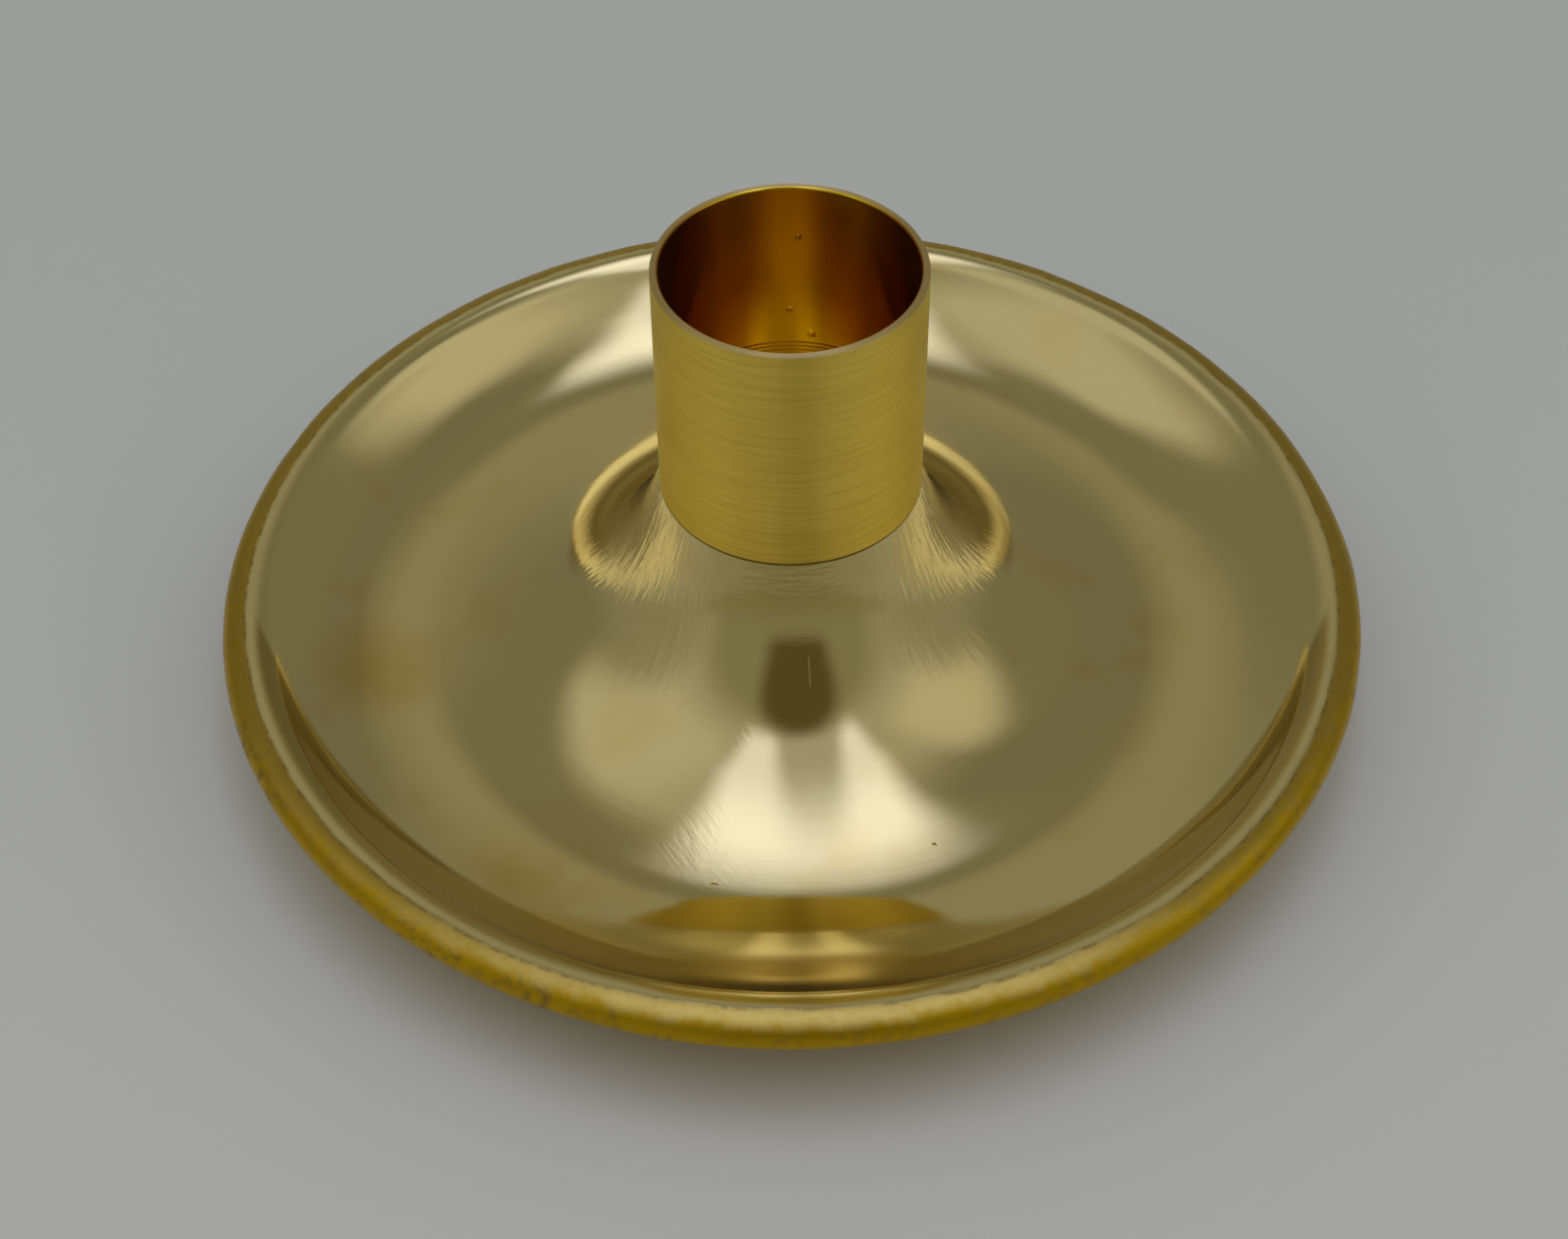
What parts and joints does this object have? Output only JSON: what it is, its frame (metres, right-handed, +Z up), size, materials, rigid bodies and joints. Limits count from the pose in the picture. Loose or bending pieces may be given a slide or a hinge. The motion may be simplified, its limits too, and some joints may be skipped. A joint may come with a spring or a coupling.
{
  "type": "candlestick",
  "caption": "Low brass candlestick: a round drip dish with a rounded rim and trumpet neck, and a plain turned cup clamped on top that holds a dinner candle.",
  "frame": {"origin": "middle of the foot ring, on the surface that the candlestick stands on", "axes": "+Z up along the axis of the cup and the dish; the part is round about it"},
  "size_m": [0.1072, 0.1072, 0.0474],
  "materials": {
    "dish_brass": "hand-buffed, satin rim",
    "socket_brass": "brushed round the axis",
    "washer_brass": "satin",
    "spring_steel": "dull",
    "nut_brass": "satin"
  },
  "bodies": {
    "root": {"drip_dish": "dish_brass", "candle_socket": "socket_brass", "plain_washer": "washer_brass", "spring_washer": "spring_steel", "fixing_nut": "nut_brass"}
  },
  "joints": []
}
